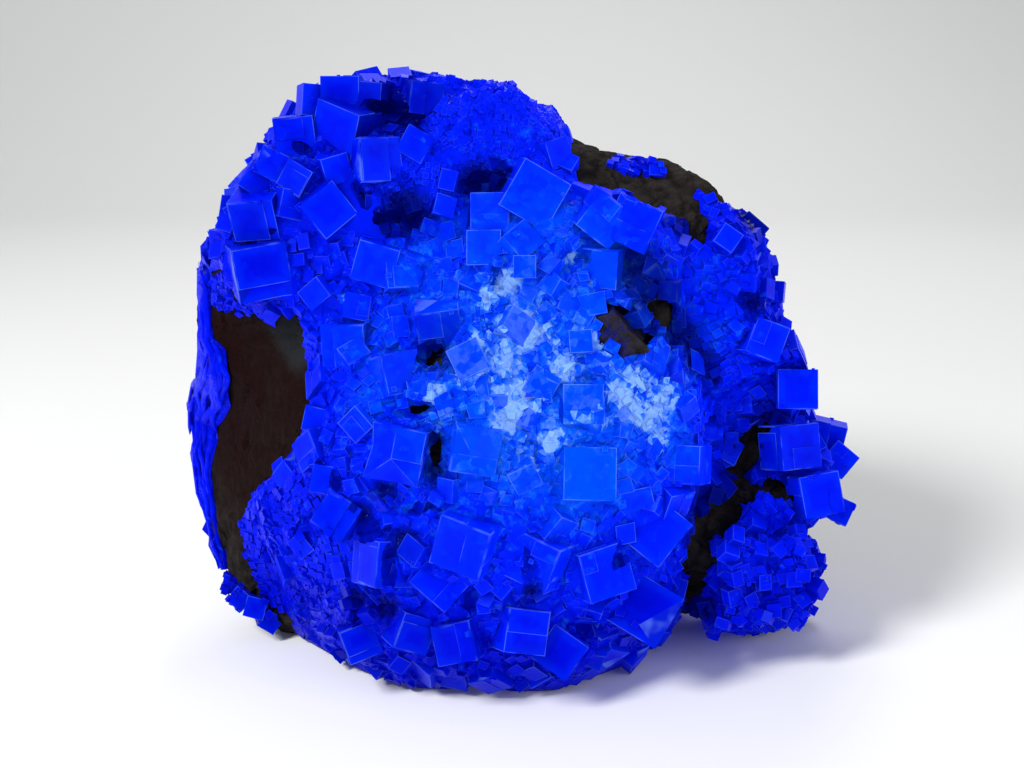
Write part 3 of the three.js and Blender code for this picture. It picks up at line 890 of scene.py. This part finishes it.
def grow_crust(name, seed):
    rng = np.random.default_rng(seed)
    massive = name == "foot_crystals"
    solid, pits = hollowed(name)
    faces = crystal_faces(solid, rng, math.inf if massive else SMALLEST)
    if "patch" not in name:
        make_lumpy(solid, 2 if massive else 1)
    others = face_growths(rng, faces)
    layers = len(others)
    others += small_crystals(rng, solid, faces, pits, name)
    count = len(others) - layers
    if name == "front_crystals":
        others += vein_strands(rng)
        others += strewn(rng, (-115.8, 37), (4.8, 7.2), 84)
        others += strewn(rng, (-107, 31), (3.5, 3), 16)
    if name == "top_patch_crystals":
        others += strewn(rng, (48, 87), (9.5, 3.2), 46)
    mesh = combine(marked_mesh(solid, faces), others, "UNION")
    triangles = sum(len(face.vertices) - 2 for face in mesh.polygons)
    print(name, "large faces:", len(faces), "layers:", layers, "small crystals:", count,
          "triangles:", triangles)
    return add_object(name + "_fine", mesh)


# %% [markdown]
# ## Painted shade, painted light and pale places
#
# The glow is not even, and light and shade are painted into it. It is palest in the crushed middle
# of the front. A painted shade takes it down to almost nothing in the valleys between the clusters
# and along the rims, and darkens the foot of the stone. A painted light makes some clusters a little
# lighter, and the druse is a little lighter too. These places are listed on the sheet, each with its
# reach. Every face corner of a crust stores how near it lies to a place of painted shade and to a
# pale one, and how much lighter it is. A valley is painted dark down to its bottom, so distances
# along the line of sight count less.
#
# A crystal glows as a whole. So the three numbers are averaged over each small or large crystal,
# which is known by its tone, and only the skin between them changes from corner to corner.

# %% Painted shade, painted light and pale places
# Places of painted shade: valleys, hollows and rims, painted dark.
PAINTED_SHADE_PLACES = [
    (-51, 110, 8), (-42, 108, 7), (-42, 69, 10), (-51, 65, 6), (-14, 81, 8), (-5, 82, 6),
    (-31.6, 11.6, 7), (-31, -22, 4), (-31, -34, 5), (-50, -44, 5), (-61, -52, 5), (-43, -63, 6),
    (-51, -89, 5), (-62, -86, 4), (50, 47, 9), (55, 38, 9), (61, 28, 8), (67, 19, 8), (75, 10, 7),
    (80, 2, 4), (102, -13, 7), (95, -26, 8), (90, -38, 8), (81, -48, 10), (75, -58, 8),
    (74, -75, 7), (74, -90, 8), (111, -40, 4), (29, 94, 8), (35, 83, 7), (51, 76, 6), (66, 66, 7),
    (72, 70, 6), (96, 66, 7), (105, 50, 5), (97, 33, 4), (8, -84, 4), (44, -70, 3), (-106, 58, 4),
]
# Places of painted light: clusters painted a little lighter.
PAINTED_LIGHT_PLACES = [
    (-66, 20, 14), (-26, 61, 9), (-44, 46, 14), (-8, 66, 13), (14, 72, 12), (40, 58, 10),
    (30, -36, 18), (84, 22, 12), (80, 44, 8), (-60, -6, 10), (-12, -24, 12), (70, -26, 9),
]


def nearness(points, spots, trees):
    """How near each point lies to one of the spots: 1 at its middle, 0 well beyond its reach."""
    best = np.zeros(len(points))
    for across, up, reach in spots:
        hit = first_met(across, up, trees)
        if not hit:
            continue
        sight = np.array((hit[0] - EYE).normalized())
        step = (points - np.array(hit[0])) / MM
        deep = step @ sight
        wide = np.linalg.norm(step - deep[:, None] * sight, axis=1)
        near = np.clip(1.5 - np.hypot(wide, deep * 0.35) / reach, 0, 1)
        best = np.maximum(best, near * near * (3 - 2 * near))
    return best


def paint(piece, trees):
    """Stores painted shade, paleness and lightness at a crust's face corners."""
    mesh = piece.data
    points = numbers(mesh.vertices, "co")
    # painted shade: how near each point lies to a place of painted shade
    dark = nearness(points, PAINTED_SHADE_PLACES, trees)
    pale = nearness(points, PALE_SPOTS, trees)
    # lightness: a little more on the druse, painted light at the listed places, painted shade at the
    # foot
    lift = (0.14 * inside(DRUSE, on_sheet(points)) + 0.28 * nearness(points, PAINTED_LIGHT_PLACES, trees)
            - 0.5 * np.clip(1 - points[:, 2] / MM / 50, 0, 1))
    corners = numbers(mesh.loops, "vertex_index", 1, np.int32)[:, 0]
    values = np.stack([dark, pale, lift], 1)[corners]
    tone, size = (numbers(mesh.attributes[name].data, "vector")[:, 2] for name in ("sides", "ends"))
    single = size > 0.1
    _, groups = np.unique(np.rint(tone * 2e5)[single], return_inverse=True)
    share = np.bincount(groups)
    for k in range(3):
        values[single, k] = (np.bincount(groups, values[single, k]) / share)[groups]
    mark(mesh, "shade", values)
    print(piece.name, "dark:", round(float(dark.mean()), 2), "pale:", round(float(pale.mean()), 2))


CRUSTS = ["front_crystals", "right_crystals", "knuckle_crystals", "foot_crystals",
          "top_patch_crystals", "low_patch_crystals"]
crusts = [grow_crust(name, 11 + i) for i, name in enumerate(CRUSTS)]
crust_trees = [BVHTree.FromBMesh(welded(name)) for name in CRUSTS]
for piece in crusts:
    paint(piece, crust_trees)

# %% [markdown]
# ## The rock
#
# Broken rock has big flat breaks, steps between them, and a grain that shows at every scale. The
# solid gives the big breaks. A voxel remesh turns it into an even skin of small faces, a little
# smoothing takes the hard creases away, and then every point moves in or out by a sum of noises:
# cells for the small chips, ridges for the grain. Noise vectors start from the clock unless they
# get a seed. So one is set, and the rock breaks in the same way every time.

# %% Rock shape
ROCK_VOXEL = 1.9 * MM
noise.seed_set(3)


def rock_mesh():
    body = add_object("rock", mesh_from(rock_solid, "rock"))
    remesh = body.modifiers.new("remesh", "REMESH")
    remesh.mode = "VOXEL"
    remesh.voxel_size = ROCK_VOXEL
    soften = body.modifiers.new("soften", "SMOOTH")
    soften.factor = 0.5
    soften.iterations = 3
    return applied(body)


def rock_grain(place):
    """How far a point of the rock stands out, in millimetres."""
    p = place / MM
    cell_distance, cell_points = noise.voronoi(p / 15 + noise.noise_vector(p / 22) * 0.5)
    chip = (cell_distance[1] - cell_distance[0])
    slant = noise.cell_vector(cell_points[0] * 7.3) - Vector((0.5, 0.5, 0.5))
    tilt = slant.dot(p / 15 - cell_points[0])
    ridges = noise.ridged_multi_fractal(p / 9, 0.9, 2.1, 4, 1.0, 2.0)
    fine = noise.fractal(p / 2.6, 0.9, 2.0, 3)
    return 1.6 * min(chip, 0.5) + 3.0 * tilt + 0.45 * (ridges - 1.2) + 0.35 * fine


# %% [markdown]
# ## A fragment and a ledge
#
# Two parts of the rock are shaped by themselves. A broken fragment of it sits in the crust, right
# of the middle, and shows between the crystals. It is a ball pressed out to three pairs of flat
# sides, with the grain of the rock. A low ledge carries the lower end of the vein, which would
# otherwise stand free.

# %% Fragment and ledge
FRAGMENT_PLACE = (42.5, 21.5)
FLAT_SIDES = [Vector(way).normalized()
              for way in ((0.8, 0.5, 0.3), (-0.4, 0.85, 0.2), (0.1, -0.3, 0.95))]
LEDGE_PLACE = (-118.5, -62)


def rock_fragment():
    """An angular lump of rock that sticks out of the crust, and where its middle is."""
    root, _ = meet(*FRAGMENT_PLACE, rock_tree)
    front, _ = meet(*FRAGMENT_PLACE, crust_trees[0])
    shows = front is not None and (front - EYE).length < (root - EYE).length
    top = front if shows else root - AHEAD * 8 * MM
    middle = root.lerp(top, 0.35) - ACROSS * 3.5 * MM
    lump = ball(5)
    side = (ACROSS * 0.85 - UP * 0.5).normalized()
    rise = AHEAD.cross(side).normalized()
    for vert in lump.verts:
        flat = max(abs(vert.co.dot(way)) for way in FLAT_SIDES)
        x, y, z = vert.co * (0.8 / flat) * (1 + 0.12 * noise.noise(vert.co * 3))
        place = middle + (side * x * 11 + rise * y * 7.6 + AHEAD * z * 8) * MM
        vert.co = place + (place - middle).normalized() * 0.5 * rock_grain(place) * MM
    return lump, middle


def rock_ledge():
    """A low ledge behind the lower end of the vein, which the vein clings to."""
    root, _ = meet(*LEDGE_PLACE, crust_trees[0])
    middle = root + AHEAD * 5 * MM + ACROSS * 2 * MM
    along = (ACROSS * 0.35 - UP).normalized()
    side = AHEAD.cross(along).normalized()
    lump = ball(4)
    for vert in lump.verts:
        x, y, z = vert.co * (1 + 0.15 * noise.noise(vert.co * 2))
        vert.co = middle + (side * x * 3.2 + along * y * 13 + AHEAD * z * 5) * MM
    return lump


# %% [markdown]
# ## Growing the rock
#
# Every point moves in or out by the grain, a little more on the back, where the break is rough.
# Near and under the crusts the points only move inwards, so that the rock never shows through the
# crystals. Along the vein it keeps its height, because the vein lies against it.

# %% Grow the rock
VEIN_ROCK = -104  # left of this the rock keeps its height
REACH = 6 * MM  # how far the crusts are looked for


def grow_rock():
    mesh = rock_mesh()
    moved = []
    for vert, normal in zip(mesh.vertices, numbers(mesh.vertices, "normal")):
        place = vert.co.copy()
        amount = rock_grain(place) * (1 + 0.6 * min(max(place.y / MM / 30 - 1.3, 0), 1))
        gap = min((tree.find_nearest(place, REACH)[3] or REACH) for tree in crust_trees)
        if gap < 5 * MM:
            bare = max(gap - 1 * MM, 0) / (4 * MM)
            beside_vein = on_sheet(place)[0][0] <= VEIN_ROCK
            under = 0.2 if beside_vein else min(amount - 0.8, -0.3)
            amount = bare * amount + (1 - bare) * under
        place += Vector(normal) * amount * MM
        place.z = max(place.z, 0.0)
        moved += place[:]
    mesh.vertices.foreach_set("co", moved)
    mesh.update()
    fragment, middle = rock_fragment()
    for lump in (fragment, rock_ledge()):
        lump.from_mesh(mesh)
        lump.to_mesh(mesh)
        lump.free()
    print("rock faces:", len(mesh.polygons))
    return add_object("host_rock_fine", mesh), middle


rock, FRAGMENT = grow_rock()

# %% [markdown]
# ## Shader maths as plain expressions
#
# A finish is a network of nodes. Wiring it by hand is slow to read, so two small helpers are made
# here. `Wire` wraps the output of a node, and adding or multiplying wires adds the Math nodes that
# do it. `Finish` holds one material, and its `node` method makes any other node from its type, its
# settings, and what goes into its sockets.

# %% Wires


class Wire:
    """One number that travels between shader nodes."""

    def __init__(self, finish, socket):
        self.finish, self.socket = finish, socket

    def math(self, operation, other):
        return self.finish.node("ShaderNodeMath", {"operation": operation}, {0: self, 1: other})

    def __add__(self, other):
        return self.math("ADD", other)

    __radd__ = __add__

    def __mul__(self, other):
        return self.math("MULTIPLY", other)

    __rmul__ = __mul__

    def __sub__(self, other):
        return self.math("SUBTRACT", other)

    def __rsub__(self, other):
        return (self * -1.0) + other

    def __truediv__(self, other):
        return self.math("DIVIDE", other)

    def lower(self, other):
        return self.math("MINIMUM", other)

    def ramp(self, start, end):
        """0 at start, 1 at end, and smooth between."""
        return self.finish.node(
            "ShaderNodeMapRange", {"interpolation_type": "SMOOTHSTEP"},
            {"Value": self, "From Min": start, "From Max": end, "To Min": 0.0, "To Max": 1.0})


# %% [markdown]
# ## A finish
#
# `Finish` also has short names for what is used again and again: a blend of two colours, clouds of
# noise of a given size, the distance from a point, the numbers kept at the face corners, and bump.

# %% Finishes


class Finish:
    """One procedural material."""

    def __init__(self, name):
        self.material = bpy.data.materials.new(name)
        self.material.use_nodes = True
        self.tree = self.material.node_tree
        self.shader = self.tree.nodes["Principled BSDF"]
        self.place = self.node("ShaderNodeTexCoord", out="Object")

    def node(self, kind, settings=None, values=None, out=0):
        made = self.tree.nodes.new(kind)
        for key, value in (settings or {}).items():
            setattr(made, key, value)
        for key, value in (values or {}).items():
            self.feed(made.inputs[key], value)
        return Wire(self, made.outputs[out])

    def feed(self, socket, value):
        if isinstance(value, Wire):
            self.tree.links.new(value.socket, socket)
        elif socket.type == "RGBA" and len(value) == 3:
            socket.default_value = (*value, 1)
        else:
            socket.default_value = value

    def blend(self, amount, first, second):
        """A colour between two."""
        return self.node("ShaderNodeMix", {"data_type": "RGBA"},
                         {0: amount, 6: first, 7: second}, out=2)

    def layered(self, colour, layers):
        """A colour with others laid over it, each by its own amount."""
        for amount, other in layers:
            colour = self.blend(amount, colour, other)
        return colour

    def clouds(self, size, detail=4.0, roughness=0.55, warp=0.0):
        """Soft noise whose clouds are about that many millimetres across."""
        return self.node("ShaderNodeTexNoise", {"noise_dimensions": "3D"},
                         {"Vector": self.place, "Scale": 1 / (size * MM), "Detail": detail,
                          "Roughness": roughness, "Distortion": warp})

    def away_from(self, centre):
        """Distance from a point, in millimetres."""
        apart = self.node("ShaderNodeVectorMath", {"operation": "DISTANCE"},
                          {0: self.place, 1: tuple(centre)}, out="Value")
        return apart / MM

    def kept(self, name):
        """The three numbers that the face corners carry under a name."""
        vector = self.node("ShaderNodeAttribute", {"attribute_name": name}, out="Vector")
        return [self.node("ShaderNodeSeparateXYZ", values={0: vector}, out=i) for i in range(3)]

    def bump(self, height, depth, strength=1.0):
        return self.node("ShaderNodeBump", values={"Height": height, "Distance": depth,
                                                   "Strength": strength})

    def set(self, **values):
        for key, value in values.items():
            self.feed(self.shader.inputs[key.replace("_", " ")], value)


# %% [markdown]
# ## The fluorite's finish
#
# This fluorite glows under a black light: it gives off a deep blue light of its own, and where the
# crystals are crushed the blue turns pale. No black light shines here, so the glow is painted: the
# finish has a blue body colour, a painted glow in the same colour as Emission, a little light
# passing through, and a volume that swallows all but blue. One value says how bright the blue is,
# and
# another how pale. Several things take part in them:
#
# - a painted highlight, a thin pale line along each sharp edge, from the distances that the corners
#   carry,
# - faint growth lines along the edges, and on large faces a painted rim glow round a deeper middle,
# - cloudy veils and wisps, from soft noises that run through the whole stone,
# - shards, which are cells a few millimetres wide, each as pale as it likes, for crushed places,
# - a tone for each crystal, and painted light towards the middle of the front, paler there too,
# - the places of painted shade, paleness and painted light from above.
#
# A painted shade takes the glow down in deep gaps, where little of it would get out. Two Ambient
# Occlusion nodes find them: one looks a few millimetres around for cracks, the other much further
# for wide hollows.

# %% Fluorite finish


def fluorite_finish():
    f = Finish("fluorite")
    left, right, tone = f.kept("sides")
    bottom, top, size = f.kept("ends")
    # What each corner stores: painted shade, paleness, and a lightness with painted light and shade.
    painted_shade, paleness, lift = f.kept("shade")
    edge_distance = left.lower(right).lower(bottom.lower(top))
    large = size.ramp(3.0, 12.0)
    veil = f.clouds(11, 2.0, 0.6)
    wisp = f.clouds(3.0, 2.0, 0.65)
    # Painted light: brighter towards the middle of the front.
    centre, _ = meet(*CENTRE, crust_trees[0])
    lit = 1 - f.away_from(centre).ramp(18.0, 112.0)
    # Painted highlight: a thin pale line along each sharp edge, stronger in the painted light.
    strength = large * 0.7 + lit * 0.3 + 0.1
    line = (1 - edge_distance.ramp(0.04, 0.35)) * strength * veil.ramp(0.38, 0.6)
    # Painted glow at the rim of a large face, and a deeper blue in its middle.
    rim = 1 - edge_distance.ramp(0.2, 4.5)
    zone = edge_distance + veil * 1.6
    ghost = zone.ramp(2.9, 3.15) * (1 - zone.ramp(3.15, 3.9)) * large
    cells = f.node("ShaderNodeTexVoronoi", {"feature": "F1"},
                   {"Vector": f.place, "Scale": 1 / (2.7 * MM)}, out="Color")
    shard = f.node("ShaderNodeSeparateColor", values={0: cells}, out=0)
    # Paleness of crushed places, and painted light that makes the middle of the front paler.
    crushed_and_painted_light = paleness * 0.7 + lit * 0.36 + shard * 0.55 + wisp * 0.8 - 1.1
    loose = 1 - size.ramp(3.0, 8.5) * 0.85
    # Painted shade in cracks and wide hollows, found by two Ambient Occlusion nodes.
    near_sky = f.node("ShaderNodeAmbientOcclusion", {"samples": 1}, {"Distance": 6 * MM}, out="AO")
    far_sky = f.node("ShaderNodeAmbientOcclusion", {"samples": 1}, {"Distance": 24 * MM}, out="AO")
    gaps = (1 - near_sky) * (0.85 - lit * 0.3 - paleness * 0.35)
    # How much glow is left under the painted shade of cracks, hollows and the dark places.
    glow = (1 - gaps) * (far_sky * 0.5 + 0.5) * (1 - painted_shade * 0.85)

    deep, middle = (0.0, 0.002, 0.58), (0.0, 0.011, 1.0)
    bright, azure, pale = (0.0, 0.062, 1.0), (0.006, 0.17, 1.0), (0.22, 0.43, 1.0)
    # How bright the blue is: the crystals' own tone, with painted light and painted shade.
    mood = veil * 0.5 + tone * 0.14 + shard * 0.1 + lit * 0.75 + lift - 0.3
    body = f.layered(deep, [
        (mood.ramp(-0.15, 0.4), middle),
        (mood.ramp(0.4, 1.05), bright),
        ((1 - rim) * large * veil.ramp(0.3, 0.6) * 0.25, deep),
        (rim * large * 0.12 + ghost * veil.ramp(0.5, 0.7) * 0.12, bright),
        (crushed_and_painted_light.ramp(-0.2, 0.3) * loose * 0.6, azure),
        (crushed_and_painted_light.ramp(0.1, 0.62) * loose * 0.9, pale),
        (line * 0.3, pale),
    ])
    # The body darkened by its painted shade.
    dark = f.blend(glow, (0.0, 0.0, 0.02), body)
    # Painted glow: the same colour goes out as Emission.
    f.set(Base_Color=f.blend(0.7, dark, (0, 0, 0)), Emission_Color=dark, Emission_Strength=0.95)
    f.set(Specular_Tint=(0.15, 0.35, 1.0))
    f.set(Roughness=0.26 + veil * 0.14)
    f.set(Transmission_Weight=0.06, IOR=1.434, Specular_IOR_Level=0.06)
    sugar = (1 - size.ramp(0.3, 2.9)) * f.clouds(0.9, 0.0)
    f.set(Normal=f.bump(sugar * 1.6, 0.55 * MM, 0.5))
    inside_light = f.node("ShaderNodeVolumeAbsorption",
                          values={"Color": (0.05, 0.2, 1.0), "Density": 30.0})
    f.tree.links.new(inside_light.socket, f.tree.nodes["Material Output"].inputs["Volume"])
    f.material.cycles.emission_sampling = "NONE"
    return f.material


fluorite = fluorite_finish()
for piece in crusts:
    piece.data.materials.clear()
    piece.data.materials.append(fluorite)

# %% [markdown]
# ## The rock's finish
#
# The host rock is dark: a red-brown, iron-stained face on the left, a grey-green patch beside it,
# and grey-brown rock elsewhere. The back is painted lighter, a painted light. A painted blue cast
# from the glowing crust lies in patches on the fragment. The finish mixes these with noise at three
# sizes, and a bump adds the finest grain, for which the mesh is too coarse.

# %% Rock finish


def rock_finish():
    f = Finish("host_rock")
    big, small, grit = f.clouds(26, 5.0, 0.6, 0.6), f.clouds(5, 6.0, 0.65), f.clouds(0.9, 3.0, 0.7)
    red, _ = meet(-100, 0, rock_tree)
    green, _ = meet(-86, 18, rock_tree)
    redness = (1 - f.away_from(red).ramp(28.0, 75.0)) * big.ramp(0.3, 0.62)
    shadow = 1 - f.away_from(red).ramp(45.0, 85.0)
    greenness = 1 - f.away_from(green).ramp(7.0, 17.0)
    stone = 1 - f.away_from(FRAGMENT).ramp(11.0, 15.0)
    # Painted light: the back of the rock is made lighter.
    back = f.node("ShaderNodeSeparateXYZ", values={0: f.place}, out="Y").ramp(0.03, 0.075)
    # Painted blue cast on the fragment, as if from the glowing crust around it, in patches.
    painted_blue_cast = f.clouds(3.2, 4.0, 0.7, 0.8).ramp(0.42, 0.66)
    nearly_black, grey = (0.005, 0.0042, 0.004), (0.024, 0.02, 0.018)
    colour = f.layered(nearly_black, [
        (small.ramp(0.3, 0.7), grey),
        (big.ramp(0.5, 0.75) * 0.6, (0.012, 0.0085, 0.007)),
        (back * small.ramp(0.25, 0.6) * 0.75, (0.05, 0.042, 0.036)),
        (redness * 0.9, (0.012, 0.0026, 0.0021)),
        (shadow * 0.75, (0.0062, 0.0014, 0.0014)),
        (greenness * 0.8, (0.014, 0.017, 0.019)),
        (grit.ramp(0.6, 0.75) * 0.4, (0.05, 0.042, 0.038)),
        (stone * small.ramp(0.35, 0.65) * 0.5, grey),
        (stone * painted_blue_cast * 0.85, (0.003, 0.006, 0.11)),
    ])
    f.set(Base_Color=colour, Roughness=0.62 + small * 0.3, Specular_IOR_Level=0.035)
    f.set(Normal=f.bump(small * 0.6 + grit * 0.4, 0.9 * MM, 0.7))
    return f.material


rock.data.materials.clear()
rock.data.materials.append(rock_finish())

# %% [markdown]
# ## Fitting the pieces to the solids
#
# Each piece stands for its solid and rides with the specimen.

# %% Fit the pieces
for piece, name in zip([rock, *crusts], ["host_rock", *CRUSTS]):
    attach(piece, "root")
    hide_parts(name)
    "host_rock" if name == "host_rock" else "fluorite"

# %% [markdown]
# ## Floor, light and camera
#
# The specimen stands on a pale floor that curves up behind it, in soft light from large lamps. The
# camera looks from the eye point at the middle of the stone.

# %% Stage


def sweep():
    """A floor that curves up into a backdrop."""
    near, bend, radius, height, half_width = -12.0, 1.2, 0.8, 4.0, 9.0
    profile = [(near, 0.0), (bend, 0.0)]
    profile += [(bend + radius * math.sin(a), radius - radius * math.cos(a))
                for a in np.linspace(0.1, math.pi / 2, 12)]
    profile.append((bend + radius, height))
    corners = [(x, y, z) for x in (-half_width, half_width) for y, z in profile]
    n = len(profile)
    faces = [(i, i + n, i + n + 1, i + 1) for i in range(n - 1)]
    mesh = plain_mesh("sweep", corners, faces)
    mesh.polygons.foreach_set("use_smooth", [True] * len(mesh.polygons))
    return mesh


floor = add_object("floor", sweep())
paper = Finish("paper")
paper.set(Base_Color=(0.78, 0.78, 0.77), Roughness=0.9, Specular_IOR_Level=0.1)
floor.data.materials.append(paper.material)


def soft_lamp(name, place, size, power):
    lamp = bpy.data.lights.new(name, "AREA")
    lamp.shape = "DISK"
    lamp.size = size
    lamp.energy = power
    holder = add_object(name, lamp)
    holder.location = MIDDLE + Vector(place)
    holder.rotation_euler = (MIDDLE - holder.location).to_track_quat("-Z", "Y").to_euler()


soft_lamp("key", (-0.8, -0.8, 0.9), 0.45, 26)
soft_lamp("fill", (1.1, -0.8, 0.5), 0.9, 6)
soft_lamp("back", (0.2, 1.2, 1.2), 0.9, 9)
world = bpy.data.worlds.new("studio")
world.use_nodes = True
sky = world.node_tree.nodes["Background"].inputs
sky["Color"].default_value = (0.85, 0.87, 0.9, 1)
sky["Strength"].default_value = 0.42
bpy.context.scene.world = world
bpy.context.scene.view_settings.view_transform = "Standard"

lens = bpy.data.cameras.new("camera")
lens.lens = 50
lens.sensor_width = 36
lens.clip_start = 0.01
camera = add_object("camera", lens)
camera.location = EYE
camera.rotation_euler = AHEAD.to_track_quat("-Z", "Y").to_euler()
bpy.context.scene.camera = camera

# %% [markdown]
# ## The last step
#
# The scene is brought up to date.

# %% Bring the scene up to date
bpy.context.view_layer.update()
